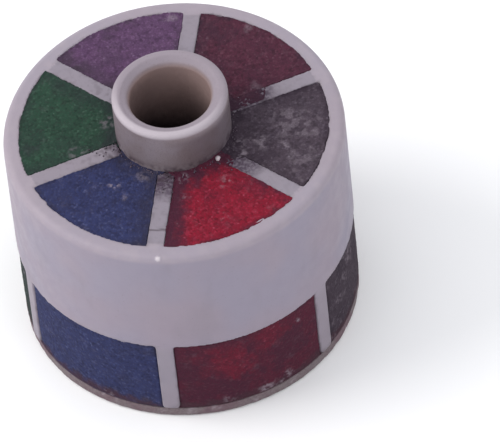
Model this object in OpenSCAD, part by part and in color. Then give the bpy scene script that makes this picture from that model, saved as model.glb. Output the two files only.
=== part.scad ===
// Air stone: a round moulded cage with six coloured stones of bonded sand, cast round a
// central socket for an air hose. The underside of the base is at z = 0 and +Z points out
// of the socket. Air goes down the socket into a gallery, out through cross-holes into the
// stones, and leaves them at the windows in the top and round the side.

/* [Body] */
// Outer diameter of the cage
body_d = 25; // [23:0.5:34]
// Height of the top face above the underside
body_h = 18; // [16.8:0.1:24]

/* [Cage] */
// Height of the solid band below the top face
band_h = 10; // [6:0.1:11]
// Thickness of the band and of the legs
wall_t = 1.2; // [0.8:0.1:1.6]
// Rounding of the band's top outer edge
band_edge_r = 0.5; // [0.2:0.05:0.7]
// Width of the spokes and of the legs
spoke_w = 1.3; // [1:0.1:1.8]
// Depth of the spokes below the top face
spoke_depth = 1.6; // [1.2:0.1:2]
// Thickness of the webs that part the stones
web_t = 0.8; // [0.5:0.1:1]
// Drop of the hub ring below the top face
hub_drop = 0.8; // [0.5:0.1:1]
// Length of the hub ring
hub_len = 2; // [1.5:0.1:3]
// Wall thickness of the hub ring
hub_t = 0.9; // [0.6:0.1:1.4]
// Radius of the moulding gate's stub on the top edge
gate_r = 0.2; // [0.1:0.05:0.25]

/* [Inlet tube] */
// Height of the collar above the top face
collar_h = 4; // [2:0.1:8]
// Outer diameter of the collar
collar_d = 8.5; // [8.4:0.1:9.5]
// Outer diameter of the stem below the collar
stem_d = 8; // [7.6:0.1:8]
// Bore that grips the air hose
socket_d = 6; // [5.6:0.1:6.2]
// Length of the gripping bore
socket_len = 8; // [5:0.1:8.5]
// Diameter of the mouth at the foot of its chamfer
mouth_d = 6.3; // [6.2:0.05:6.6]
// Height of the chamfer inside the rim
rim_chamfer = 0.35; // [0.2:0.05:0.6]
// Rounding of the rim's outer edge
rim_edge_r = 0.35; // [0.1:0.05:0.4]
// Diameter of the air gallery below the socket
gallery_d = 4.2; // [3:0.1:4.6]
// Diameter of the cross-holes into the stones
cross_d = 1.2; // [0.8:0.1:1.6]
// Height of the lower row of cross-holes
cross_z = 5; // [4:0.1:6]
// Rise from the lower row of cross-holes to the upper one
cross_rise = 4; // [2:0.1:5]

/* [Stones] */
// Depth of the stones below the cage's outer surfaces
stone_recess = 0.1; // [0.05:0.05:0.5]

/* [Base] */
// Diameter of the base disc
base_d = 24.8; // [22:0.1:24.8]
// Thickness of the base disc
base_t = 0.9; // [0.6:0.05:1.5]
// Rounding of the base disc's lower edge
base_edge_r = 0.3; // [0.1:0.05:0.5]
// Thickness of the resin film that seals the stones to the base disc
seal_t = 0.15; // [0.1:0.05:0.3]
// Height of the plug that closes the gallery
plug_h = 1.4; // [0.8:0.1:2]
// Diameter of the shallow dimple at the middle of the underside
dimple_d = 3; // [1:0.1:4]
// Depth of that dimple
dimple_depth = 0.2; // [0.05:0.05:0.3]

/* [Hidden] */
$fn = 96;

fit_gap = 0.05;  // clearance between pieces that are set in one another
slip_gap = 0.02; // clearance of the round fits on the inlet tube
cut = 1;         // how far a cutting shape runs past what it cuts

sector_count = 6;
sector = 360 / sector_count;
body_r = body_d / 2;
wall_in_r = body_r - wall_t;
band_z = body_h - band_h;
spoke_z = body_h - spoke_depth;

stem_r = stem_d / 2;
collar_r = collar_d / 2;
socket_r = socket_d / 2;
mouth_r = mouth_d / 2;
gallery_r = gallery_d / 2;
hub_top_z = body_h - hub_drop;
hub_z = hub_top_z - hub_len;
hub_r = stem_r + hub_t;

rim_z = body_h + collar_h;
mouth_z = rim_z - rim_chamfer; // foot of the chamfer
lead_in = 2 * (mouth_r - socket_r);
socket_top_z = mouth_z - lead_in; // where the bore reaches its gripping size
socket_z = socket_top_z - socket_len;
rim_chamfer_r = mouth_r + 1.3 * rim_chamfer;

fill_z = base_t + seal_t; // lower end of the stones, webs, legs and stem
base_r = base_d / 2;

cage_colour = [0.68, 0.64, 0.70];
tube_colour = [0.56, 0.51, 0.53];
seal_colour = [0.72, 0.66, 0.58];
base_colour = [0.52, 0.44, 0.46];
red = [0.60, 0.11, 0.19];
black = [0.22, 0.20, 0.25];
maroon = [0.35, 0.18, 0.26];
purple = [0.40, 0.29, 0.45];
green = [0.18, 0.38, 0.29];
blue = [0.21, 0.24, 0.47];

// Square-edged tube between two radii and two heights, or a rod where r_in is 0
module tube(r_in, r_out, z_low, z_high) {
  height = z_high - z_low;
  translate([0, 0, z_low])
    difference() {
      cylinder(r = r_out, h = height);
      if (r_in > 0)
        translate([0, 0, -cut]) cylinder(r = r_in, h = height + 2 * cut);
    }
}

// Plan of one sector, centred on +X, with its sides side_gap off the neighbouring spokes' middles
module sector_plan(side_gap) {
  half = sector / 2;
  apex = side_gap / sin(half);
  reach = body_d;
  polygon([
    [apex, 0],
    [apex + reach * cos(half), reach * sin(half)],
    [apex + reach * cos(half), -reach * sin(half)]
  ]);
}

// Piece of a tube that fills one sector
module sector_piece(side_gap, r_in, r_out, z_low, z_high) {
  intersection() {
    tube(r_in, r_out, z_low, z_high);
    translate([0, 0, z_low]) linear_extrude(z_high - z_low) sector_plan(side_gap);
  }
}

// Body that the cage is cut from, with a rounded top edge
module cage_blank() {
  edge_mid_r = body_r - band_edge_r;
  edge_mid_z = body_h - band_edge_r;
  translate([0, 0, fill_z]) cylinder(r = body_r, h = edge_mid_z - fill_z);
  translate([0, 0, fill_z]) cylinder(r = edge_mid_r, h = body_h - fill_z);
  translate([0, 0, edge_mid_z])
    rotate_extrude() translate([edge_mid_r, 0]) circle(r = band_edge_r);
}

// Room for one stone: its main space between the webs, its top window and its side window
module cell() {
  sector_piece(web_t / 2, 0, wall_in_r, fill_z - cut, spoke_z);
  sector_piece(spoke_w / 2, 0, wall_in_r, spoke_z - cut, body_h + cut);
  sector_piece(spoke_w / 2, wall_in_r - cut, body_r + cut, fill_z - cut, band_z);
}

// Stub that the moulding gate leaves at the outer end of the front spoke
module gate_stub() {
  inset = gate_r + 0.01;
  rotate([0, 0, -90])
    translate([body_r - inset, spoke_w / 4, body_h - inset]) sphere(r = gate_r);
}

module cage() {
  color(cage_colour)
    union() {
      difference() {
        cage_blank();
        difference() {
          for (i = [0 : sector_count - 1]) rotate([0, 0, sector * i]) cell();
          tube(0, hub_r, hub_z, hub_top_z);
        }
        translate([0, 0, fill_z - cut]) cylinder(r = stem_r + slip_gap, h = body_h);
        translate([0, 0, hub_top_z]) cylinder(r = collar_r + fit_gap, h = body_h);
      }
      gate_stub();
    }
}

// Hollow of the inlet tube: chamfer, lead-in, gripping bore and air gallery, from the rim down
module inlet_bore() {
  translate([0, 0, mouth_z]) cylinder(r1 = mouth_r, r2 = rim_chamfer_r, h = rim_chamfer);
  translate([0, 0, rim_z]) cylinder(r = rim_chamfer_r, h = cut);
  translate([0, 0, socket_top_z]) cylinder(r1 = socket_r, r2 = mouth_r, h = lead_in);
  translate([0, 0, socket_z]) cylinder(r = socket_r, h = socket_len);
  translate([0, 0, fill_z - cut]) cylinder(r = gallery_r, h = socket_z - fill_z + 2 * cut);
}

// Collar above the hub ring, with a rounded rim
module collar() {
  rotate_extrude() {
    translate([0, hub_top_z]) square([collar_r, rim_z - hub_top_z - rim_edge_r]);
    translate([0, hub_top_z]) square([collar_r - rim_edge_r, rim_z - hub_top_z]);
    translate([collar_r - rim_edge_r, rim_z - rim_edge_r]) circle(r = rim_edge_r);
  }
}

module inlet_tube() {
  color(tube_colour)
    difference() {
      union() {
        collar();
        translate([0, 0, fill_z]) cylinder(r = stem_r, h = hub_top_z - fill_z + collar_h / 2);
      }
      inlet_bore();
      for (row = [0, 1], i = [0 : sector_count - 1])
        rotate([0, 0, sector * i])
          translate([gallery_r - cut, 0, cross_z + row * cross_rise])
            rotate([0, 90, 0]) cylinder(d = cross_d, h = stem_r - gallery_r + 2 * cut, $fn = 32);
    }
}

// One stone, in the sector that is place sectors round from +X
module stone(place, tint) {
  web_side = web_t / 2 + fit_gap;
  spoke_side = spoke_w / 2 + fit_gap;
  inner_r = stem_r + fit_gap;
  outer_r = wall_in_r - fit_gap;
  top_z = body_h - stone_recess;
  color(tint)
    rotate([0, 0, sector * place])
      difference() {
        union() {
          sector_piece(web_side, inner_r, outer_r, fill_z, spoke_z - fit_gap);
          sector_piece(spoke_side, inner_r, outer_r, spoke_z - cut, top_z);
          sector_piece(spoke_side, outer_r - cut, body_r - stone_recess, fill_z, band_z - fit_gap);
        }
        tube(0, hub_r + fit_gap, hub_z - fit_gap, hub_top_z + fit_gap);
        tube(0, collar_r + fit_gap, hub_top_z, body_h + cut);
      }
}

module stone_red() {
  stone(-1, red);
}

module stone_black() {
  stone(0, black);
}

module stone_maroon() {
  stone(1, maroon);
}

module stone_purple() {
  stone(2, purple);
}

module stone_green() {
  stone(3, green);
}

module stone_blue() {
  stone(4, blue);
}

// Resin film between the stones and the base disc
module seal_layer() {
  color(seal_colour) tube(gallery_r, base_r - base_edge_r, base_t, fill_z);
}

// Disc with a rounded lower edge, a plug up into the gallery and a dimple underneath
module base_disc() {
  color(base_colour)
    difference() {
      union() {
        rotate_extrude() {
          square([base_r - base_edge_r, base_t]);
          translate([0, base_edge_r]) square([base_r, base_t - base_edge_r]);
          translate([base_r - base_edge_r, base_edge_r]) circle(r = base_edge_r);
        }
        cylinder(r = gallery_r - slip_gap, h = fill_z + plug_h);
      }
      translate([0, 0, -cut]) cylinder(d = dimple_d, h = dimple_depth + cut);
    }
}

cage();
inlet_tube();
stone_red();
stone_black();
stone_maroon();
stone_purple();
stone_green();
stone_blue();
seal_layer();
base_disc();
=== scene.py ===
"""Looks of a small aquarium air stone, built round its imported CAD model.

Everything is in metres, in the model's frame: the underside is at z = 0, +Z points out of the
hose socket, and the spoke with the moulding gate's stub points along -Y.
"""

import itertools
import math

import bmesh
import bpy
import numpy as np
from mathutils import Matrix, Vector
from mathutils.kdtree import KDTree


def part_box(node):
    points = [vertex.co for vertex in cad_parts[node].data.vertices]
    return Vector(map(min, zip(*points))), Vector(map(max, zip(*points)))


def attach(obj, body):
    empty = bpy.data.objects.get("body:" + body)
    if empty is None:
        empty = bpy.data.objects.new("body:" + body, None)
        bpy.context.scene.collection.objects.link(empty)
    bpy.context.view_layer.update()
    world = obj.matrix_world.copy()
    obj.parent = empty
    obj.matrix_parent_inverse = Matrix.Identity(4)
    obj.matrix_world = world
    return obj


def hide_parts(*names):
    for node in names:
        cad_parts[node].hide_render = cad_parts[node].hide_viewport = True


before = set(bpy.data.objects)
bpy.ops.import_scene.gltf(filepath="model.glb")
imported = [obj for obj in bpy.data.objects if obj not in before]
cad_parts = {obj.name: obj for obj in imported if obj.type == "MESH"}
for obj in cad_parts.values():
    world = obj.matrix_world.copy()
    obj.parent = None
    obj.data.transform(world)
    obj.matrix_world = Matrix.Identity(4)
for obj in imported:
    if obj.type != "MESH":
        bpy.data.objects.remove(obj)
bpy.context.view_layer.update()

MM = 0.001

# Places taken from the CAD nodes
cage_low, cage_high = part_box("cage")
_, tube_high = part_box("inlet_tube")
_, disc_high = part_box("base_disc")
seal_low, seal_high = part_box("seal_layer")
_, stone_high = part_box("stone_black")  # the stone that is centred on +X
BODY_R = cage_high.x
TOP_Z = cage_high.z
FILL_Z = cage_low.z
COLLAR_R = tube_high.x
RIM_Z = tube_high.z
STONE_R = stone_high.x
DISC_R = disc_high.x

# Sizes of the CAD design that no node's box gives
WALL = 1.2 * MM
BAND_H = 10 * MM
SPOKE_W = 1.3 * MM
WEB = 0.8 * MM
STEM_R = 4 * MM
HUB_R = 4.9 * MM
HUB_DROP = 0.8 * MM
HUB_LEN = 2 * MM
SPOKE_DEPTH = 1.6 * MM
GATE_R = 0.2 * MM
GALLERY_R = 2.1 * MM
DIMPLE_R = 1.5 * MM
DIMPLE_DEPTH = 0.2 * MM
FIT_GAP = 0.05 * MM  # clearance between pieces that are set in one another

WINDOW_R = BODY_R - WALL
BAND_Z = TOP_Z - BAND_H
SECTOR = math.radians(60)

# Sand
GRAIN = 0.18 * MM  # spacing of the grains
GRAIN_RELIEF = 0.03 * MM
SAND_STEP = 0.05 * MM  # spacing of the mesh on a stone's visible faces
SAND_COLUMNS = 240

# Fineness of the other meshes
CAGE_VOXEL, CAGE_FACES = 0.12 * MM, 180_000
TUBE_VOXEL, TUBE_FACES = 0.08 * MM, 170_000
LATHE_COLUMNS = 900

# How far out (mm) grime washes over each spoke, by spoke, anticlockwise from the one at 30 degrees
WASH_ENDS = (8.2, 4.6, 4.4, 5.0, 6.8, 7.8)

# Each stone's place in turn from +X, how far out (mm) its sand lies over the spoke on its right
# and left and how far past that spoke's middle (mm), how strong the painted shade is along the
# spoke on its right and left, how much darker its side is all over, how dusty it is, and its marks:
# kind, angle (degrees), radius on top or height on the side (mm), size (mm), strength.
# Darkening marks carry stain and painted shade; a clear mark takes them away.
STONES = {
    "stone_black": {
        "place": 0,
        "right": (5.7, 0.1),
        "left": (4.4, 0),
        "spoke_shade": (0.25, 0.2),
        "side_darkening": 0.45,
        "dust": 0.2,
        "top_marks": [
            ("dust", -26, 4.7, 0.5, 0.6),
            ("dust", -21, 5.7, 0.4, 0.5),
            ("dust", -13, 5.2, 0.5, 0.4),
            ("dust", -8, 6.6, 0.8, 0.35),
            ("dust", -9, 8.4, 0.6, 0.45),
            ("dust", -25, 8.2, 0.6, 0.25),
            ("dust", 4, 8.6, 1.8, 0.25),
            ("dust", -14, 9.8, 1.4, 0.2),
            ("stain_and_shade", -22, 6.8, 0.9, 0.6),
            ("stain_and_shade", 5, 5.0, 1.6, 0.6),
            ("stain_and_shade", -16, 7.6, 0.8, 0.5),
        ],
        "side_marks": [
            ("dust", -8, 6.7, 0.9, 0.4),
            ("dust", -14, 5.6, 0.7, 0.3),
            ("dust", -20, 4.4, 0.8, 0.35),
            ("stain_and_shade", -18, 2.4, 1.6, 0.5),
            ("stain_and_shade", 5, 3.9, 2.2, 0.5),
        ],
    },
    "stone_maroon": {
        "place": 1,
        "right": (7.2, 0.45),
        "left": (4.2, 0),
        "spoke_shade": (0.1, 0.35),
        "side_darkening": 0.3,
        "dust": 0.05,
        "top_marks": [
            ("clear", 46, 9.6, 2.2, 0.7),
            ("dust", 38, 6.9, 0.6, 0.15),
            ("dust", 66, 11.0, 0.5, 0.25),
            ("stain_and_shade", 78, 9.6, 1.6, 0.55),
            ("stain_and_shade", 45, 4.9, 1.2, 0.5),
            ("stain_and_shade", 70, 6.4, 1.5, 0.3),
        ],
        "side_marks": [("stain_and_shade", 50, 3.0, 2.5, 0.5)],
    },
    "stone_purple": {
        "place": 2,
        "right": (4.2, 0),
        "left": (4.2, 0),
        "spoke_shade": (0.05, 0.45),
        "side_darkening": 0.3,
        "dust": 0.05,
        "top_marks": [
            ("dust", 98, 10.6, 0.7, 0.3),
            ("dust", 112, 11.1, 0.5, 0.35),
            ("stain_and_shade", 146, 11.0, 1.1, 0.7),
            ("stain_and_shade", 122, 11.2, 1.1, 0.5),
            ("stain_and_shade", 144, 5.4, 1.0, 0.55),
            ("stain_and_shade", 135, 8.4, 1.2, 0.25),
        ],
        "side_marks": [("stain_and_shade", 125, 2.5, 2.5, 0.4)],
    },
    "stone_green": {
        "place": 3,
        "right": (4.2, 0),
        "left": (4.2, 0),
        "spoke_shade": (0.3, 0.35),
        "side_darkening": 0.8,
        "dust": 0.04,
        "top_marks": [
            ("dust", 175, 5.0, 0.7, 0.3),
            ("dust", -158, 7.4, 0.6, 0.25),
            ("dust", -151, 10.6, 0.4, 0.5),
            ("stain_and_shade", 153, 11.0, 0.9, 0.8),
            ("stain_and_shade", 172, 11.2, 0.7, 0.5),
            ("stain_and_shade", -166, 11.0, 1.0, 0.65),
            ("stain_and_shade", -153, 10.2, 0.7, 0.5),
            ("stain_and_shade", -160, 4.9, 0.8, 0.5),
        ],
        "side_marks": [
            ("stain_and_shade", -156, 4.9, 5.0, 0.95),
            ("dust", -152, 6.0, 0.5, 0.7),
            ("dust", -158, 6.9, 0.5, 0.5),
            ("dust", -151, 4.7, 0.5, 0.5),
        ],
    },
    "stone_blue": {
        "place": 4,
        "right": (4.2, 0),
        "left": (4.3, 0),
        "spoke_shade": (0.15, 0.5),
        "side_darkening": 0.0,
        "dust": 0.05,
        "top_marks": [
            ("dust", -123, 6.7, 0.4, 0.6),
            ("dust", -113, 7.2, 0.4, 0.35),
            ("dust", -111, 5.2, 0.8, 0.25),
            ("stain_and_shade", -98, 6.2, 1.1, 0.5),
            ("stain_and_shade", -108, 4.9, 1.0, 0.45),
            ("stain_and_shade", -96, 10.6, 0.6, 0.5),
            ("stain_and_shade", -149, 11.0, 0.6, 0.6),
            ("stain_and_shade", -98, 9.0, 1.0, 0.3),
        ],
        "side_marks": [
            ("stain_and_shade", -126, 1.3, 0.9, 0.5),
            ("stain_and_shade", -112, 1.0, 1.1, 0.6),
            ("stain_and_shade", -99, 1.2, 1.2, 0.7),
            ("dust", -113, 1.3, 0.4, 0.5),
        ],
    },
    "stone_red": {
        "place": 5,
        "right": (4.3, 0),
        "left": (5.5, 0.1),
        "spoke_shade": (0.9, 0.15),
        "side_darkening": 0.82,
        "dust": 0.06,
        "top_marks": [
            ("stain_and_shade", -84, 6.4, 1.0, 0.75),
            ("stain_and_shade", -86, 8.2, 1.0, 0.75),
            ("stain_and_shade", -86, 10.0, 1.2, 0.85),
            ("stain_and_shade", -80, 11.0, 0.8, 0.6),
            ("stain_and_shade", -72, 5.2, 1.3, 0.75),
            ("stain_and_shade", -62, 4.7, 1.1, 0.85),
            ("stain_and_shade", -44, 4.5, 0.9, 0.8),
            ("dust", -74, 5.0, 0.5, 0.45),
            ("dust", -77, 6.6, 0.6, 0.25),
            ("dust", -81, 9.2, 0.22, 1.0),
            ("dust", -60, 9.3, 0.5, 0.4),
            ("dust", -48, 6.6, 0.6, 0.3),
        ],
        "side_marks": [
            ("clear", -69, 5.6, 2.4, 0.35),
            ("clear", -52, 7.0, 1.8, 0.25),
            ("stain_and_shade", -81, 3.6, 2.6, 0.9),
            ("stain_and_shade", -46, 4.0, 3.2, 0.95),
            ("stain_and_shade", -84, 6.8, 1.3, 0.8),
            ("stain_and_shade", -68, 1.8, 2.6, 0.9),
            ("dust", -56, 1.3, 0.8, 0.6),
            ("dust", -70, 1.5, 0.6, 0.35),
            ("dust", -48, 1.6, 0.6, 0.5),
            ("dust", -42, 6.7, 0.3, 0.5),
        ],
    },
}


# ---------------------------------------------------------------- numbers and meshes


def smooth_step(value, low=0.0, high=1.0):
    """0 below low, 1 above high and an even curve between them."""
    t = np.clip((value - low) / (high - low), 0, 1)
    return t * t * (3 - 2 * t)


def mix(low, high, share):
    return low + (high - low) * share


def soft_noise(points, cell, seed):
    """Smooth noise from -1 to 1, with bumps about one cell across."""
    table = np.random.default_rng(seed).uniform(-1, 1, 4096)
    scaled = points / cell
    base = np.floor(scaled).astype(np.int64)
    part = scaled - base
    part = part * part * (3 - 2 * part)
    total = np.zeros(len(points))
    for corner in itertools.product((0, 1), repeat=3):
        index = (base + corner) @ np.array([73856093, 19349663, 83492791]) % len(table)
        weight = np.prod(np.where(np.array(corner) == 1, part, 1 - part), axis=1)
        total += weight * table[index]
    return total


def layered_noise(points, cell, seed, layers=3):
    """Noise with finer and weaker layers added, still about -1 to 1."""
    total, weight = np.zeros(len(points)), 1.0
    for layer in range(layers):
        total += weight * soft_noise(points, cell / 2**layer, seed + layer)
        weight *= 0.55
    return total


def read_points(mesh):
    flat = np.empty(len(mesh.vertices) * 3)
    mesh.vertices.foreach_get("co", flat)
    return flat.reshape(-1, 3)


def write_points(mesh, points):
    mesh.vertices.foreach_set("co", points.ravel())
    mesh.update()


def add_values(mesh, name, values):
    """Stores one number per vertex, for the materials to read."""
    layer = mesh.attributes.new(name, "FLOAT", "POINT")
    layer.data.foreach_set("value", np.ascontiguousarray(values, dtype=np.float32))


def shade_smooth(mesh):
    mesh.polygons.foreach_set("use_smooth", [True] * len(mesh.polygons))


def new_object(name, mesh):
    piece = bpy.data.objects.new(name, mesh)
    bpy.context.scene.collection.objects.link(piece)
    return piece


def grid_faces(rows, columns, wrap_rows, wrap_columns):
    """Quads of a grid of rows by columns, whose points are numbered row by row."""
    row = np.arange(rows if wrap_rows else rows - 1)[:, None]
    column = np.arange(columns if wrap_columns else columns - 1)[None, :]
    next_row, next_column = (row + 1) % rows, (column + 1) % columns
    corners = (
        row * columns + column,
        row * columns + next_column,
        next_row * columns + next_column,
        next_row * columns + column,
    )
    return np.stack([np.broadcast_to(c, corners[0].shape).ravel() for c in corners], axis=1)


def mesh_from(name, points, faces):
    """Mesh with its faces turned outwards."""
    mesh = bpy.data.meshes.new(name)
    mesh.from_pydata(points.tolist(), [], faces)
    tidy = bmesh.new()
    tidy.from_mesh(mesh)
    bmesh.ops.triangulate(tidy, faces=[f for f in tidy.faces if len(f.verts) > 4])
    bmesh.ops.recalc_face_normals(tidy, faces=tidy.faces)
    tidy.to_mesh(mesh)
    tidy.free()
    shade_smooth(mesh)
    return mesh


def applied(piece):
    """The piece's mesh with its modifiers applied."""
    depsgraph = bpy.context.evaluated_depsgraph_get()
    mesh = bpy.data.meshes.new_from_object(piece.evaluated_get(depsgraph))
    piece.modifiers.clear()
    old = piece.data
    piece.data = mesh
    bpy.data.meshes.remove(old)
    return mesh


def remeshed(node, name, voxel, relax):
    """Copy of a CAD node as an even mesh, its edges eased by relax rounds of smoothing."""
    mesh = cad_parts[node].data.copy()
    mesh.materials.clear()
    write_points(mesh, read_points(mesh) / MM)
    weld = bmesh.new()
    weld.from_mesh(mesh)
    bmesh.ops.remove_doubles(weld, verts=weld.verts, dist=0.0005)
    weld.to_mesh(mesh)
    weld.free()
    piece = new_object(name, mesh)
    remesh = piece.modifiers.new("remesh", "REMESH")
    remesh.mode = "VOXEL"
    remesh.voxel_size = voxel / MM
    ease = piece.modifiers.new("ease", "SMOOTH")
    ease.factor = 0.5
    ease.iterations = relax
    mesh = applied(piece)
    write_points(mesh, read_points(mesh) * MM)
    return piece


def thinned(piece, keep, faces):
    """Collapses the mesh to about this many triangles, and least where keep is true."""
    group = piece.vertex_groups.new(name="spare")
    group.add(np.flatnonzero(~keep).tolist(), 1, "REPLACE")
    thin = piece.modifiers.new("thin", "DECIMATE")
    thin.ratio = min(1.0, faces / (2 * len(piece.data.polygons)))
    thin.vertex_group = "spare"
    thin.vertex_group_factor = 10
    applied(piece)
    piece.vertex_groups.clear()
    shade_smooth(piece.data)


def polar(points):
    return np.hypot(points[:, 0], points[:, 1]), np.arctan2(points[:, 1], points[:, 0])


def spoke_offset(points):
    """Distance of each point from the middle plane of the nearest spoke."""
    radius, angle = polar(points)
    from_spoke = angle % SECTOR - SECTOR / 2
    return radius * np.abs(np.sin(from_spoke))


# ---------------------------------------------------------------- materials


def linear(red, green, blue):
    """Colour from the usual 0 to 255 screen values."""
    values = [c / 255 for c in (red, green, blue)]
    return tuple(v / 12.92 if v <= 0.04045 else ((v + 0.055) / 1.055) ** 2.4 for v in values) + (1.0,)


class Look:
    """A node material with one Principled shader, and short ways to add nodes."""

    def __init__(self, name):
        self.material = bpy.data.materials.new(name)
        self.material.use_nodes = True
        self.nodes = self.material.node_tree.nodes
        self.links = self.material.node_tree.links
        self.shader = self.nodes["Principled BSDF"]
        self.place = self.nodes.new("ShaderNodeTexCoord").outputs["Object"]

    def set(self, socket, value):
        """Sets a shader input to a constant, or links a node's output to it."""
        if isinstance(value, bpy.types.NodeSocket):
            self.links.new(value, self.shader.inputs[socket])
        else:
            self.shader.inputs[socket].default_value = value

    def feed(self, node, socket, value):
        if isinstance(value, bpy.types.NodeSocket):
            self.links.new(value, node.inputs[socket])
        else:
            node.inputs[socket].default_value = value

    def noise(self, size, detail=3.0, stretch=(1, 1, 1)):
        """Noise whose blotches are about size across."""
        scale = self.nodes.new("ShaderNodeMapping")
        scale.inputs["Scale"].default_value = [s / size for s in stretch]
        self.links.new(self.place, scale.inputs["Vector"])
        node = self.nodes.new("ShaderNodeTexNoise")
        node.inputs["Scale"].default_value = 1.0
        node.inputs["Detail"].default_value = detail
        self.links.new(scale.outputs["Vector"], node.inputs["Vector"])
        return node.outputs["Fac"]

    def value(self, name):
        node = self.nodes.new("ShaderNodeAttribute")
        node.attribute_name = name
        return node.outputs["Fac"]

    def span(self, value, low, high, to_low=0.0, to_high=1.0):
        """Maps low..high to to_low..to_high, held at the ends."""
        node = self.nodes.new("ShaderNodeMapRange")
        node.interpolation_type = "SMOOTHSTEP"
        self.feed(node, "Value", value)
        for socket, number in zip(("From Min", "From Max", "To Min", "To Max"), (low, high, to_low, to_high)):
            self.feed(node, socket, number)
        return node.outputs["Result"]

    def times(self, first, second):
        node = self.nodes.new("ShaderNodeMath")
        node.operation = "MULTIPLY"
        self.feed(node, 0, first)
        self.feed(node, 1, second)
        return node.outputs["Value"]

    def blend(self, first, second, share, kind="MIX"):
        node = self.nodes.new("ShaderNodeMix")
        node.data_type = "RGBA"
        node.blend_type = kind
        self.feed(node, "Factor", share)
        for socket, colour in ((6, first), (7, second)):
            self.feed(node, socket, colour)
        return node.outputs[2]

    def ramp(self, value, stops):
        node = self.nodes.new("ShaderNodeValToRGB")
        elements = node.color_ramp.elements
        while len(elements) < len(stops):
            elements.new(0.5)
        for element, (at, colour) in zip(elements, stops):
            element.position = at
            element.color = colour
        self.links.new(value, node.inputs["Fac"])
        return node.outputs["Color"]

    def bump(self, height, depth, below=None):
        """Adds relief of the given depth on top of the relief below it."""
        node = self.nodes.new("ShaderNodeBump")
        node.inputs["Distance"].default_value = depth
        self.links.new(height, node.inputs["Height"])
        if below:
            self.links.new(below, node.inputs["Normal"])
        return node.outputs["Normal"]


# The last colour of each stands for stain and for painted shade alike: at the cage's edges, round the
# collar's foot and along the spokes
SAND_COLOURS = {  # common grain, paler grain, rare pale grain, stain
    "red_sand": ((128, 16, 40), (138, 26, 50), (156, 56, 76), (58, 24, 42)),
    "black_sand": ((73, 62, 72), (80, 69, 80), (94, 83, 94), (44, 34, 45)),
    "maroon_sand": ((77, 36, 53), (83, 42, 58), (95, 57, 73), (50, 30, 45)),
    "purple_sand": ((90, 63, 94), (98, 70, 102), (110, 85, 115), (58, 46, 60)),
    "green_sand": ((37, 67, 52), (44, 74, 58), (60, 88, 72), (34, 44, 44)),
    "blue_sand": ((45, 51, 90), (52, 58, 97), (68, 73, 110), (38, 38, 60)),
}
# Painted shade for the crevices between the grains
CREVICE_SHADE = linear(42, 32, 38)
DUST = linear(150, 138, 148)
SOAKED = linear(62, 38, 48)  # sand that the sealing resin has crept into


def sand_look(slot):
    common, paler, rare, stain_shade_colour = [linear(*c) for c in SAND_COLOURS[slot]]
    look = Look(slot)
    dark = [c * 0.62 for c in common[:3]] + [1.0]
    stops = [(0.0, dark), (0.3, common), (0.7, common), (0.9, paler), (0.975, paler), (1.0, rare)]
    colour = look.ramp(look.value("tone"), stops)
    mottle = look.ramp(look.noise(0.7 * MM, 4), [(0.3, linear(222, 222, 226)), (0.7, linear(255, 255, 255))])
    colour = look.blend(colour, mottle, 1.0, "MULTIPLY")
    # Stain, and painted shade at the cage's edges, round the collar's foot and along the spokes
    colour = look.blend(colour, stain_shade_colour, look.value("stain_and_shade"))
    colour = look.blend(colour, SOAKED, look.value("soak"))
    colour = look.blend(colour, DUST, look.value("dust"))
    # Painted shade in the crevices between the grains
    colour = look.blend(colour, CREVICE_SHADE, look.times(look.value("crevice"), 0.32))
    look.set("Base Color", colour)
    look.set("Roughness", look.span(look.value("tone"), 0.6, 1.0, 0.92, 0.75))
    look.set("Specular IOR Level", 0.2)
    look.set("Normal", look.bump(look.noise(0.05 * MM, 2), 0.006 * MM))
    return look.material


def cage_look():
    look = Look("cage_plastic")
    drift = look.span(look.noise(7 * MM, 2), 0.35, 0.65)
    colour = look.blend(linear(134, 127, 142), linear(138, 127, 139), drift)
    smear = look.span(look.noise(2.2 * MM, 5, (1, 1, 0.4)), 0.52, 0.72)
    colour = look.blend(colour, linear(124, 116, 126), look.times(smear, 0.35))
    speck = look.span(look.noise(0.16 * MM, 1), 0.66, 0.8)
    colour = look.blend(colour, linear(104, 92, 100), look.times(speck, 0.25))
    colour = look.blend(colour, linear(129, 121, 130), look.value("dull"))
    # Painted highlight on the rounded outer edge and painted light on the ring's top face
    colour = look.blend(colour, linear(152, 142, 150), look.value("painted_highlight"))
    patchy = look.span(look.noise(0.22 * MM, 4), 0.35, 0.6, 0.55, 1.0)
    colour = look.blend(colour, linear(64, 50, 66), look.times(look.value("wash"), patchy))
    # Grime, a crack line and painted shade beside the windows and round the collar's foot
    colour = look.blend(colour, linear(54, 42, 50), look.value("grime_and_shade"))
    colour = look.blend(colour, linear(186, 178, 184), look.value("gate"))
    look.set("Base Color", colour)
    look.set("Roughness", look.span(look.noise(1.1 * MM, 4), 0.3, 0.7, 0.45, 0.6))
    look.set("Specular IOR Level", 0.35)
    look.set("Subsurface Weight", 0.1)
    look.set("Subsurface Radius", (0.5, 0.42, 0.46))
    look.set("Subsurface Scale", 1 * MM)
    waves = look.bump(look.noise(1.4 * MM, 2), 0.02 * MM)
    look.set("Normal", look.bump(look.noise(0.09 * MM, 3), 0.005 * MM, waves))
    return look.material


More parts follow.
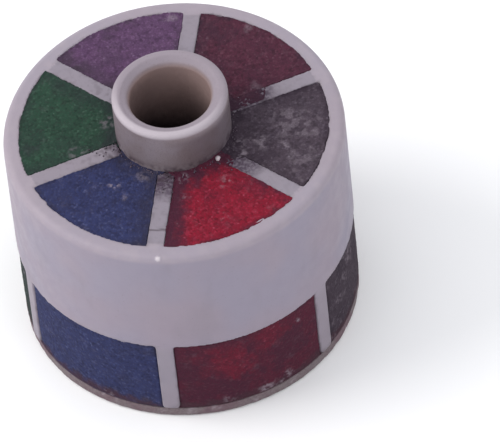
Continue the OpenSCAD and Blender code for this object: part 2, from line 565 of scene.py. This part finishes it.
def tube_look():
    look = Look("tube_plastic")
    drift = look.span(look.noise(2.5 * MM, 4), 0.35, 0.65)
    colour = look.blend(linear(133, 123, 130), linear(124, 112, 115), drift)
    speck = look.span(look.noise(0.14 * MM, 1), 0.6, 0.78)
    colour = look.blend(colour, linear(96, 84, 90), look.times(speck, 0.4))
    clean_rim = look.times(look.value("rim"), look.span(speck, 0, 1, 1.0, 0.6))
    colour = look.blend(colour, linear(138, 128, 137), clean_rim)
    # Painted highlight on the rim's outer bead
    colour = look.blend(colour, linear(172, 163, 170), look.value("painted_highlight"))
    colour = look.blend(colour, linear(142, 119, 115), look.value("inside"))
    # Sand and painted shade at the collar's foot, painted shade on its right and left sides
    colour = look.blend(colour, linear(52, 36, 48), look.value("grime_and_shade"))
    # Painted shade deep in the bore and on its left wall
    colour = look.blend(colour, linear(30, 20, 26), look.value("bore_shade"))
    look.set("Base Color", colour)
    look.set("Roughness", look.span(look.noise(0.6 * MM, 4), 0.3, 0.7, 0.6, 0.8))
    look.set("Specular IOR Level", 0.3)
    waves = look.bump(look.noise(0.5 * MM, 3), 0.022 * MM)
    look.set("Normal", look.bump(look.noise(0.12 * MM, 2), 0.016 * MM, waves))
    return look.material


def base_look():
    look = Look("base_resin")
    drift = look.span(look.noise(3.5 * MM, 4), 0.4, 0.6)
    colour = look.blend(linear(99, 76, 84), linear(107, 95, 98), drift)
    grit = look.span(look.noise(0.16 * MM, 2), 0.45, 0.7)
    colour = look.blend(colour, linear(74, 54, 64), look.times(grit, 0.5))
    pale = look.span(look.noise(0.9 * MM, 5), 0.58, 0.75)
    colour = look.blend(colour, linear(144, 132, 140), look.times(pale, 0.6))
    look.set("Base Color", colour)
    look.set("Roughness", look.span(look.noise(0.3 * MM, 3), 0.3, 0.7, 0.6, 0.8))
    look.set("Normal", look.bump(look.noise(0.12 * MM, 3), 0.02 * MM))
    return look.material


def seal_look():
    look = Look("seal_resin")
    drift = look.span(look.noise(0.5 * MM, 4), 0.35, 0.65)
    colour = look.blend(linear(84, 56, 66), linear(108, 86, 90), drift)
    look.set("Base Color", colour)
    look.set("Roughness", look.span(look.noise(0.3 * MM, 3), 0.3, 0.7, 0.35, 0.6))
    look.set("Normal", look.bump(look.noise(0.15 * MM, 3), 0.02 * MM))
    return look.material


def floor_look():
    look = Look("floor")
    look.set("Base Color", look.blend(linear(243, 243, 243), linear(238, 238, 239), look.noise(60 * MM, 2)))
    look.set("Roughness", 0.8)
    return look.material


# ---------------------------------------------------------------- stones


def stone_outline(overlap):
    """Points round a stone's section in radius and height, each with the label of its stretch."""
    inner = COLLAR_R - 0.1 * MM
    hub_top, hub_bottom = TOP_Z - HUB_DROP + FIT_GAP, TOP_Z - HUB_DROP - HUB_LEN - FIT_GAP
    coarse = 1 * MM
    corners = [
        (inner, TOP_Z, SAND_STEP, "top"),
        (WINDOW_R + overlap, TOP_Z, coarse, "hidden"),
        (WINDOW_R + overlap, TOP_Z - SPOKE_DEPTH / 2, coarse, "hidden"),
        (WINDOW_R - FIT_GAP, TOP_Z - SPOKE_DEPTH, coarse, "hidden"),
        (WINDOW_R - FIT_GAP, BAND_Z + 0.3 * MM, coarse, "hidden"),
        (STONE_R - 0.4 * MM, BAND_Z + overlap, coarse, "hidden"),
        (STONE_R, BAND_Z + overlap, SAND_STEP, "side"),
        (STONE_R, FILL_Z, coarse, "hidden"),
        (STEM_R + FIT_GAP, FILL_Z, coarse, "hidden"),
        (STEM_R + FIT_GAP, hub_bottom, coarse, "hidden"),
        (HUB_R + FIT_GAP, hub_bottom, coarse, "hidden"),
        (HUB_R + FIT_GAP, hub_top, coarse, "hidden"),
        (inner, hub_top, coarse, "hidden"),
    ]
    points, labels = [], []
    for (r, z, step, label), (next_r, next_z, _, _) in zip(corners, corners[1:] + corners[:1]):
        count = max(1, round(math.hypot(next_r - r, next_z - z) / step))
        for i in range(count):
            points.append((mix(r, next_r, i / count), mix(z, next_z, i / count)))
            labels.append(label)
    return np.array(points), np.array(labels)


def side_gap(radius, height, label, overlap, cover, past):
    """How far a stone's side stands off the middle plane of the spoke beside it."""
    spreads = smooth_step(radius, cover + 0.5 * MM, cover - 0.3 * MM)
    top = mix(SPOKE_W / 2 - overlap, -past, spreads)
    low = np.where(radius > WINDOW_R, SPOKE_W / 2 - overlap / 2, WEB / 2 + FIT_GAP)
    near_top = smooth_step(height, TOP_Z - SPOKE_DEPTH / 4, TOP_Z)
    return np.where(label == "top", top, mix(low, top, near_top))


def around(radius, degrees, height):
    """Point at this radius and height, at an angle from +X."""
    angle = math.radians(degrees)
    return (radius * math.cos(angle), radius * math.sin(angle), height)


def mark_strength(points, centres, kind, marks, ragged):
    """Strength from 0 to 1 of one kind of mark at each point, with ragged edges."""
    total = np.zeros(len(points))
    for centre, (mark, _, _, size, strength) in zip(centres, marks):
        if mark == kind:
            away = np.linalg.norm(points - centre, axis=1) / (size * MM)
            total = np.maximum(total, strength * (1 - smooth_step(away + 0.5 * ragged, 0.2, 1.2)))
    return total


def grain_field(points, seed):
    """The tone of each point's grain, and how near the point is to its middle and edge, 0 to 1."""
    rng = np.random.default_rng(seed)
    low, high = points.min(0) - GRAIN, points.max(0) + GRAIN
    axes = [np.arange(a, b, GRAIN) for a, b in zip(low, high)]
    lattice = np.stack(np.meshgrid(*axes, indexing="ij"), axis=-1).reshape(-1, 3)
    radius = np.hypot(lattice[:, 0], lattice[:, 1])
    near_top = np.abs(lattice[:, 2] - TOP_Z) < 1.5 * GRAIN
    near_side = (np.abs(radius - STONE_R) < 1.5 * GRAIN) & (lattice[:, 2] < BAND_Z + 2 * GRAIN)
    centres = lattice[near_top | near_side]
    centres += rng.uniform(-0.45, 0.45, centres.shape) * GRAIN
    tones = rng.uniform(0, 1, len(centres))
    tree = KDTree(len(centres))
    for i, centre in enumerate(centres.tolist()):
        tree.insert(centre, i)
    tree.balance()
    found = [tree.find_n(p, 2) for p in points.tolist()]
    first = np.array([f[0][2] for f in found])
    second = np.array([f[1][2] for f in found])
    tone = tones[[f[0][1] for f in found]]
    middle = np.clip(1 - first / (0.75 * GRAIN), 0, 1)
    crevice = 1 - smooth_step((second - first) / GRAIN, 0.0, 0.35)
    return tone, middle, crevice


def stone_piece(node, place, right, left, spoke_shade, side_darkening, dust, top_marks, side_marks):
    """One stone: a grid round its section, with grains raised on the faces that are seen."""
    seed = 100 + 10 * place
    slot = node.removeprefix("stone_") + "_sand"
    overlap = 0.14 * MM
    outline, label = stone_outline(overlap)
    radius, height = outline.T
    (cover_right, past_right), (cover_left, past_left) = [(c * MM, p * MM) for c, p in (right, left)]
    gap_right = side_gap(radius, height, label, overlap, cover_right, past_right)
    gap_left = side_gap(radius, height, label, overlap, cover_left, past_left)
    start = place * SECTOR - SECTOR / 2 + np.arcsin(gap_right / radius)
    end = place * SECTOR + SECTOR / 2 - np.arcsin(gap_left / radius)
    angle = mix(start[:, None], end[:, None], np.linspace(0, 1, SAND_COLUMNS))
    rows = len(radius)
    r = np.broadcast_to(radius[:, None], angle.shape).ravel()
    z = np.broadcast_to(height[:, None], angle.shape).ravel()
    angle = angle.ravel()
    kind = np.repeat(label, SAND_COLUMNS)
    points = np.stack([r * np.cos(angle), r * np.sin(angle), z], axis=1)
    ragged = layered_noise(points, 0.6 * MM, seed + 1)
    wander = 0.25 * MM * ragged
    marks = top_marks + side_marks
    centres = [around(out * MM, a, TOP_Z) for _, a, out, _, _ in top_marks]
    centres += [around(STONE_R, a, up * MM) for _, a, up, _, _ in side_marks]

    top, side = kind == "top", kind == "side"
    seen = top | side
    tone, middle, crevice = np.full(len(r), 0.5), np.zeros(len(r)), np.zeros(len(r))
    tone[seen], middle[seen], crevice[seen] = grain_field(points[seen], seed)
    relief = GRAIN_RELIEF * (np.sqrt(middle) - 0.6 + 0.5 * (tone - 0.5))
    swell = 0.03 * MM * layered_noise(points, 1.7 * MM, seed + 2)

    # Top: the sand laps over the cage's edges here and there, and banks up against the collar
    from_middle = angle - place * SECTOR
    from_right = r * np.sin(from_middle + SECTOR / 2) - SPOKE_W / 2
    from_left = r * np.sin(SECTOR / 2 - from_middle) - SPOKE_W / 2
    from_spoke = np.minimum(from_right, from_left)
    inside = np.minimum(from_spoke, WINDOW_R - r)
    edge = 0.07 * MM * layered_noise(points, 0.8 * MM, seed + 3) + 0.06 * MM * (tone - 0.8)
    reach = np.where(from_middle < 0, cover_right, cover_left)
    ends = r + wander + 0.7 * MM * (tone - 0.5)
    covered = smooth_step(ends, reach + 0.2 * MM, reach - 0.2 * MM)
    edge = edge - covered * 2 * SPOKE_W
    level = mix(0.025 * MM, -0.03 * MM, smooth_step(inside, 0, 0.15 * MM))
    level = mix(-0.16 * MM, level, smooth_step(inside, edge - 0.04 * MM, edge + 0.04 * MM))
    bank = 0.16 * MM * np.exp(-(r - COLLAR_R) / (0.28 * MM)) * (0.6 + 0.5 * ragged)
    lift = level + swell + relief + np.clip(bank, 0, None)
    points[top, 2] += lift[top]

    # Side: pushed in or out along the radius, and dipping under the band
    from_leg = spoke_offset(points) - SPOKE_W / 2
    margin = np.minimum(np.minimum(BAND_Z - z, from_leg), z - FILL_Z + 0.1 * MM)
    dip = -0.1 * MM * (1 - smooth_step(margin, -0.02 * MM, 0.12 * MM))
    push = swell + relief + dip
    points[side, 0] += (push * np.cos(angle))[side]
    points[side, 1] += (push * np.sin(angle))[side]

    faces = grid_faces(rows, SAND_COLUMNS, True, False).tolist()
    faces.append([row * SAND_COLUMNS for row in range(rows)])
    faces.append([row * SAND_COLUMNS + SAND_COLUMNS - 1 for row in range(rows)])
    mesh = mesh_from(node, points, faces)

    # Painted shade darkens the sand along the cage's edges, round the collar's foot and along the spokes;
    # each side is darker all over by its own amount; stain lies where the sand laps over a spoke, in blotches
    # and in the marks; dust lies in streaks
    blotch = smooth_step(layered_noise(points, 1.1 * MM, seed + 4), -0.3, 0.7)
    # Painted shade along the cage's edges, on top and on the side
    near_edge = 1 - smooth_step(np.where(top, inside, margin), 0.05 * MM, 0.5 * MM)
    # Painted shade round the collar's foot
    near_collar = smooth_step(r + wander, COLLAR_R + 1.5 * MM, COLLAR_R + 0.2 * MM)
    near_collar = np.where(top, near_collar, 0)
    # Painted shade in strips along the spokes on the stone's right and left
    strips = [
        much * smooth_step(away + wander, (1 + much) * MM, 0.5 * MM)
        for much, away in zip(spoke_shade, (from_right, from_left))
    ]
    stain_and_shade = 0.6 * near_edge * blotch + 0.9 * near_collar * mix(0.75, 1, blotch)
    stain_and_shade += 0.35 * covered * (from_spoke < 0)
    # Tops get the painted shade along the spokes; each side is darker all over by a given amount
    stain_and_shade += np.where(top, strips[0] + strips[1], side_darkening)
    stain_and_shade += 0.25 * smooth_step(layered_noise(points, 1.8 * MM, seed + 5), 0.0, 0.9)
    stain_and_shade = np.maximum(stain_and_shade, mark_strength(points, centres, "stain_and_shade", marks, ragged))
    stain_and_shade *= 1 - mark_strength(points, centres, "clear", marks, ragged)
    streak = smooth_step(layered_noise(points, 0.7 * MM, seed + 6, 4), 0.3, 0.9)
    fine = smooth_step(layered_noise(points, 0.3 * MM, seed + 7, 3), -0.35, 0.6)
    dusty = np.maximum(dust * streak, mark_strength(points, centres, "dust", marks, ragged))
    soaked = smooth_step(z + 0.35 * MM * ragged, FILL_Z + 0.9 * MM, FILL_Z + 0.1 * MM)
    add_values(mesh, "tone", tone)
    add_values(mesh, "crevice", crevice)
    add_values(mesh, "stain_and_shade", np.clip(stain_and_shade, 0, 0.92))
    add_values(mesh, "soak", 0.8 * side * soaked)
    add_values(mesh, "dust", dusty * fine)
    piece = new_object("sand_" + node.removeprefix("stone_"), mesh)
    mesh.materials.append(sand_look(slot))
    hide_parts(node)
    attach(piece, "root")


# ---------------------------------------------------------------- cage, tube and base


def cage_piece():
    """The moulding: legs with rounded ends, a band with a ragged lower edge, a chip and a crack."""
    piece = remeshed("cage", "moulded_cage", CAGE_VOXEL, 2)
    points = read_points(piece.data)
    radius, _ = polar(points)
    z = points[:, 2]
    low_outside = (radius > BODY_R - 0.5 * MM) & (z < BAND_Z + 0.8 * MM)
    round_edge = radius + z > BODY_R + TOP_Z - 1.2 * MM
    thinned(piece, low_outside | (z > TOP_Z - 0.4 * MM) | round_edge, CAGE_FACES)
    mesh = piece.data
    points = read_points(mesh)
    radius, angle = polar(points)
    z = points[:, 2]
    offset = spoke_offset(points)

    # Legs: narrower towards their lower ends
    end_r = 0.32 * MM
    below = np.clip(FILL_Z + end_r - z, 0, end_r)
    narrower = (end_r - np.sqrt(end_r**2 - below**2)) * (radius > WINDOW_R)
    from_spoke = angle % SECTOR - SECTOR / 2
    turned = angle - from_spoke * narrower / (SPOKE_W / 2)
    points[:, 0], points[:, 1] = radius * np.cos(turned), radius * np.sin(turned)

    # Band: flash hangs from its lower edge, between the legs
    flash = np.clip(layered_noise(points, 0.45 * MM, 80, 2) - 0.35, 0, 0.5) * 0.22 * MM
    lower_edge = (radius > BODY_R - 0.5 * MM) & (offset > 0.7 * SPOKE_W)
    points[:, 2] -= flash * lower_edge * smooth_step(z, BAND_Z + 0.25 * MM, BAND_Z + 0.05 * MM)

    # Windows: an uneven outer edge, with one chip beside the red stone
    on_top = points[:, 2] > TOP_Z - 0.5 * MM
    chip_angle, chip_width = math.radians(-49), math.radians(3.2)
    chipped = np.exp(-(((angle - chip_angle) / chip_width) ** 2))
    uneven = 0.04 * MM * layered_noise(points, 0.5 * MM, 85) - 0.2 * MM * chipped
    uneven *= on_top * smooth_step(np.abs(radius - WINDOW_R), 0.5 * MM, 0.05 * MM) * (offset > SPOKE_W)
    points[:, :2] *= (1 + uneven / radius)[:, None]
    write_points(mesh, points)

    to_window = np.where(
        on_top,
        np.maximum(SPOKE_W / 2 - offset, radius - WINDOW_R),
        np.where(z > BAND_Z, z - BAND_Z, SPOKE_W / 2 - offset),
    )
    blotch = smooth_step(layered_noise(points, 0.7 * MM, 90), -0.4, 0.8)
    fine = smooth_step(layered_noise(points, 0.25 * MM, 95, 2), 0.0, 0.8)
    # Painted shade along the edges beside the windows
    grime_and_shade = 0.45 * np.exp(-np.clip(to_window, 0, None) / (0.1 * MM)) * blotch
    # Painted shade round the collar's foot, mixed with grit
    near_collar = smooth_step(radius, COLLAR_R + 1.8 * MM, COLLAR_R) * on_top
    grime_and_shade += near_collar * (0.3 * blotch + 0.6 * fine)
    on_spoke = on_top * (radius < WINDOW_R) * (offset < 0.6 * SPOKE_W)
    grime_and_shade += on_spoke * fine * mix(0.1, 0.35, smooth_step(radius, 9.5 * MM, 5 * MM))
    crack_r = 9.75 * MM  # where the hairline crack crosses the front spoke
    cracked = np.abs(points[:, 1] + crack_r - 0.04 * MM * np.sin(points[:, 0] / (0.25 * MM)))
    grime_and_shade += 0.8 * on_top * (np.abs(points[:, 0]) < SPOKE_W / 2) * smooth_step(cracked, 0.1 * MM, 0.03 * MM)
    # Darker towards the legs' lower ends
    grime_and_shade += 0.5 * smooth_step(z, FILL_Z + 0.6 * MM, FILL_Z) * blotch
    add_values(mesh, "grime_and_shade", np.clip(grime_and_shade, 0, 0.85))

    spoke = np.floor(angle % (2 * math.pi) / SECTOR).astype(int) % len(WASH_ENDS)
    end = np.array(WASH_ENDS)[spoke] * MM
    washed = smooth_step(radius + 0.4 * MM * (blotch - 0.5), end + 0.5 * MM, end - 1.2 * MM)
    add_values(mesh, "wash", on_top * washed)
    dull = 0.8 * on_top * smooth_step(radius, WINDOW_R + 0.1 * MM, WINDOW_R - 0.3 * MM)
    add_values(mesh, "dull", dull + 0.6 * smooth_step(z, BAND_Z + 0.3 * MM, BAND_Z - 0.8 * MM))
    gate = np.linalg.norm(points - (SPOKE_W / 4, -BODY_R + GATE_R, TOP_Z - GATE_R), axis=1)
    add_values(mesh, "gate", smooth_step(gate + 0.06 * MM * fine, 0.24 * MM, 0.16 * MM))
    # Painted highlight on the rounded outer edge, and painted light on the ring's top face
    edge = smooth_step(radius + z, BODY_R + TOP_Z - 0.75 * MM, BODY_R + TOP_Z - 0.35 * MM)
    ring = 0.75 * smooth_step(z, TOP_Z - 0.45 * MM, TOP_Z - 0.15 * MM) * (radius > WINDOW_R - 0.2 * MM)
    add_values(mesh, "painted_highlight", np.maximum(0.7 * edge, ring) * (0.7 + 0.3 * blotch))
    mesh.materials.append(cage_look())
    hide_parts("cage")
    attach(piece, "root")


def tube_piece():
    """The socket, its rim slightly dished at the front, behind the outer edge with its painted highlight."""
    piece = remeshed("inlet_tube", "socket_tube", TUBE_VOXEL, 2)
    points = read_points(piece.data)
    radius, _ = polar(points)
    z = points[:, 2]
    in_bore = (radius < 3.3 * MM) & (z > RIM_Z - 9 * MM)
    thinned(piece, (z > TOP_Z - 0.5 * MM) | in_bore, TUBE_FACES)
    mesh = piece.data
    points = read_points(mesh)
    radius, angle = polar(points)
    z = points[:, 2]
    on_rim = smooth_step(z, RIM_Z - 0.4 * MM, RIM_Z - 0.1 * MM)
    front_angle = -1.7
    front = smooth_step(np.cos(angle - front_angle), -0.3, 0.8)
    dish = np.exp(-(((radius - 3.55 * MM) / (0.2 * MM)) ** 2))
    points[:, 2] -= 0.09 * MM * on_rim * front * dish
    write_points(mesh, points)

    ragged = layered_noise(points, 0.5 * MM, 101)
    outside, in_socket = radius > 3.6 * MM, radius < 3.4 * MM
    add_values(mesh, "rim", 0.9 * smooth_step(z + 0.05 * MM * ragged, RIM_Z - 0.5 * MM, RIM_Z - 0.25 * MM))
    # Painted highlight on the rim's outer bead, strongest at the front
    bead = smooth_step(radius, 3.7 * MM, 3.9 * MM) * smooth_step(z, RIM_Z - 0.55 * MM, RIM_Z - 0.3 * MM)
    add_values(mesh, "painted_highlight", 0.85 * bead * front)
    inside = in_socket * smooth_step(z, RIM_Z - 0.2 * MM, RIM_Z - 0.8 * MM)
    add_values(mesh, "inside", 0.9 * inside)
    # Painted shade: darker deeper in the bore, and on the bore's left wall
    left = smooth_step(-np.cos(angle - 0.2), -0.2, 0.9)
    depth = np.clip((RIM_Z - z) / (8 * MM) + 0.03 * ragged, 0, 1)
    left_wall = 0.35 * left * smooth_step(depth, 0.05, 0.2)
    add_values(mesh, "bore_shade", in_socket * np.clip(1.15 * depth**2 + left_wall, 0, 0.97))
    # Darker round the collar's foot, with sand and painted shade; painted shade on the collar's right side
    # below the rim and on its left side
    foot = 0.75 * smooth_step(z + 0.2 * MM * ragged, TOP_Z + 1.0 * MM, TOP_Z + 0.1 * MM)
    foot *= smooth_step(ragged, -0.5, 0.6)
    right_side_shade = 0.55 * smooth_step(np.cos(angle + 0.25), 0.1, 0.9)
    right_side_shade *= smooth_step(z, RIM_Z - 0.4 * MM, RIM_Z - 1.2 * MM)
    left_side_shade = 0.32 * left * (z < RIM_Z - 0.5 * MM)
    add_values(mesh, "grime_and_shade", np.clip((foot + right_side_shade + left_side_shade) * outside, 0, 0.8))
    mesh.materials.append(tube_look())
    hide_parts("inlet_tube")
    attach(piece, "root")


def lathe(name, corners, columns, rough):
    """Ring or disc turned from (radius, height, step) corners, with its points moved by rough."""
    outline = []
    for (r, z, step), (next_r, next_z, _) in zip(corners, corners[1:] + corners[:1]):
        count = max(1, round(math.hypot(next_r - r, next_z - z) / step))
        outline += [(mix(r, next_r, i / count), mix(z, next_z, i / count)) for i in range(count)]
    radius, height = np.array(outline).T
    angle = np.linspace(0, 2 * math.pi, columns, endpoint=False)
    points = np.stack(
        [
            np.outer(radius, np.cos(angle)).ravel(),
            np.outer(radius, np.sin(angle)).ravel(),
            np.repeat(height, columns),
        ],
        axis=1,
    )
    return mesh_from(name, rough(points), grid_faces(len(radius), columns, True, True))


def base_piece():
    """Thin gritty disc, whose turned mesh leaves a hole at the axis, too small to see."""
    edge, fine, coarse = 0.28 * MM, 0.08 * MM, 1 * MM
    pin = 0.02 * MM
    plug_r, plug_z = 2.08 * MM, disc_high.z
    round_edge = [
        (DISC_R - edge + edge * math.sin(a), edge - edge * math.cos(a), fine)
        for a in np.linspace(0, math.pi / 2, 5)
    ]
    corners = [(pin, DIMPLE_DEPTH, coarse), (DIMPLE_R, DIMPLE_DEPTH, fine), (DIMPLE_R, 0, coarse)]
    corners += round_edge
    corners += [(DISC_R, seal_low.z, fine), (DISC_R - 0.4 * MM, seal_low.z, coarse)]
    corners += [(plug_r, seal_low.z, coarse), (plug_r, plug_z, coarse), (pin, plug_z, coarse)]

    def rough(points):
        radius, _ = polar(points)
        rim = smooth_step(radius, DISC_R - 0.5 * MM, DISC_R)
        push = 0.03 * MM * (layered_noise(points, 0.5 * MM, 111) - 0.9) * rim
        points[:, :2] *= (1 + push / radius)[:, None]
        return points

    piece = new_object("closing_disc", lathe("closing_disc", corners, LATHE_COLUMNS, rough))
    piece.data.materials.append(base_look())
    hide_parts("base_disc")
    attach(piece, "root")


def seal_piece():
    """Resin film whose squeezed-out edge shows as an uneven bead under the stones."""
    inner, outer, bead = GALLERY_R, DISC_R - 0.25 * MM, 0.1 * MM
    corners = [
        (inner, seal_low.z, 1 * MM),
        (outer, seal_low.z - 0.02 * MM, 0.05 * MM),
        (outer + bead, mix(seal_low.z, seal_high.z, 0.3), 0.05 * MM),
        (outer + bead, mix(seal_low.z, seal_high.z, 0.9), 0.05 * MM),
        (outer, seal_high.z + 0.12 * MM, 0.05 * MM),
        (outer - 0.3 * MM, seal_high.z, 1 * MM),
        (inner, seal_high.z, 1 * MM),
    ]

    def rough(points):
        radius, _ = polar(points)
        rim = smooth_step(radius, DISC_R - 0.5 * MM, DISC_R - 0.2 * MM)
        push = 0.07 * MM * layered_noise(points, 0.6 * MM, 121) * rim
        points[:, :2] *= (1 + push / radius)[:, None]
        points[:, 2] += 0.05 * MM * layered_noise(points, 0.4 * MM, 125) * rim
        return points

    piece = new_object("seal_bead", lathe("seal_bead", corners, LATHE_COLUMNS, rough))
    piece.data.materials.append(seal_look())
    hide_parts("seal_layer")
    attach(piece, "root")


def loose_grains():
    """One big pale grain, and small stray ones round the collar's foot and along three spokes."""
    rng = np.random.default_rng(7)
    at_foot, on_spokes = 90, 40
    small = at_foot + on_spokes
    foot_angles = np.radians(rng.uniform(-150, 20, at_foot))
    middles = rng.choice([-30, -90, -150], on_spokes)
    spoke_angles = np.radians(middles + rng.normal(0, 5, on_spokes))
    angle = np.concatenate([[math.radians(-38)], foot_angles, spoke_angles])
    foot_radii = 4.3 + np.abs(rng.normal(0, 0.25, at_foot))
    radius = np.concatenate([[4.55], foot_radii, rng.uniform(4.3, 6.6, on_spokes)]) * MM
    size = np.concatenate([[0.2], rng.uniform(0.03, 0.07, small)]) * MM
    tone = np.concatenate([[1.0], rng.uniform(0, 0.8, small) ** 2])
    grain = bmesh.new()
    bmesh.ops.create_icosphere(grain, subdivisions=2, radius=1)
    shape = np.array([v.co for v in grain.verts])
    faces = np.array([[v.index for v in f.verts] for f in grain.faces])
    grain.free()
    bumps = 1 + 0.18 * rng.uniform(-1, 1, (len(angle), len(shape), 1))
    squash = rng.uniform(0.7, 1.1, (len(angle), 1, 3))
    centres = np.stack([radius * np.cos(angle), radius * np.sin(angle), TOP_Z + 0.4 * size], axis=1)
    points = centres[:, None] + shape * bumps * squash * size[:, None, None]
    all_faces = faces[None] + (np.arange(len(angle)) * len(shape))[:, None, None]
    mesh = mesh_from("loose_grains", points.reshape(-1, 3), all_faces.reshape(-1, 3).tolist())
    add_values(mesh, "tone", np.repeat(tone, len(shape)))
    look = Look("loose_sand")
    stops = [(0.0, linear(54, 42, 54)), (0.5, linear(84, 70, 84)), (1.0, linear(186, 174, 180))]
    look.set("Base Color", look.ramp(look.value("tone"), stops))
    look.set("Roughness", look.span(look.noise(0.1 * MM, 2), 0.3, 0.7, 0.6, 0.9))
    mesh.materials.append(look.material)
    piece = new_object("loose_grains", mesh)
    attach(piece, "root")


# ---------------------------------------------------------------- stage

VIEW_AZIMUTH = math.radians(12.1)
VIEW_ELEVATION = math.radians(48.6)
VIEW_ROLL = math.radians(6.9)
VIEW_DISTANCE = 0.672
VIEW_WIDTH = 36.4 * MM  # seen across the picture, at the object
AIM_RIGHT, AIM_DOWN = 5.56 * MM, 6.76 * MM  # from the middle of the top face to the middle of the picture


def make_camera():
    a, e = VIEW_AZIMUTH, VIEW_ELEVATION
    back = Vector((math.sin(a) * math.cos(e), -math.cos(a) * math.cos(e), math.sin(e)))
    level = Vector((math.cos(a), math.sin(a), 0))
    upright = back.cross(level)
    right = level * math.cos(VIEW_ROLL) - upright * math.sin(VIEW_ROLL)
    up = level * math.sin(VIEW_ROLL) + upright * math.cos(VIEW_ROLL)
    middle = Vector((0, 0, TOP_Z))
    place = middle + back * VIEW_DISTANCE
    aim = middle + right * AIM_RIGHT - up * AIM_DOWN
    toward = (place - aim).normalized()
    right = up.cross(toward).normalized()
    up = toward.cross(right)
    data = bpy.data.cameras.new("camera")
    data.sensor_width = 36
    data.lens = data.sensor_width * VIEW_DISTANCE / VIEW_WIDTH
    data.clip_start = 0.01
    camera = bpy.data.objects.new("camera", data)
    bpy.context.scene.collection.objects.link(camera)
    camera.matrix_world = Matrix.LocRotScale(place, Matrix((right, up, toward)).transposed(), None)
    bpy.context.scene.camera = camera


def area_light(name, direction, distance, size, power, colour):
    data = bpy.data.lights.new(name, "AREA")
    data.shape = "DISK"
    data.size = size
    data.energy = power
    data.color = colour
    lamp = bpy.data.objects.new(name, data)
    bpy.context.scene.collection.objects.link(lamp)
    toward = Vector(direction).normalized()
    lamp.location = Vector((0, 0, TOP_Z / 2)) + toward * distance
    lamp.rotation_mode = "QUATERNION"
    lamp.rotation_quaternion = toward.to_track_quat("Z", "Y")


def make_stage():
    points = np.array([(-1, -1, 0), (1, -1, 0), (1, 1, 0), (-1, 1, 0)], float) * 0.6
    floor = new_object("floor", mesh_from("floor", points, [[0, 1, 2, 3]]))
    floor.data.materials.append(floor_look())
    area_light("key", (-0.92, -0.14, 0.8), 0.5, 0.34, 1.5, (1.0, 0.99, 0.97))
    area_light("fill", (0.5, -0.6, 0.9), 0.7, 0.5, 0.5, (0.97, 0.98, 1.0))
    world = bpy.data.worlds.new("studio")
    world.use_nodes = True
    world.node_tree.nodes["Background"].inputs["Color"].default_value = (0.96, 0.97, 1.0, 1)
    world.node_tree.nodes["Background"].inputs["Strength"].default_value = 1.05
    bpy.context.scene.world = world
    bpy.context.scene.view_settings.view_transform = "Standard"


make_camera()
make_stage()
for node, settings in STONES.items():
    stone_piece(node, **settings)
cage_piece()
tube_piece()
base_piece()
seal_piece()
loose_grains()
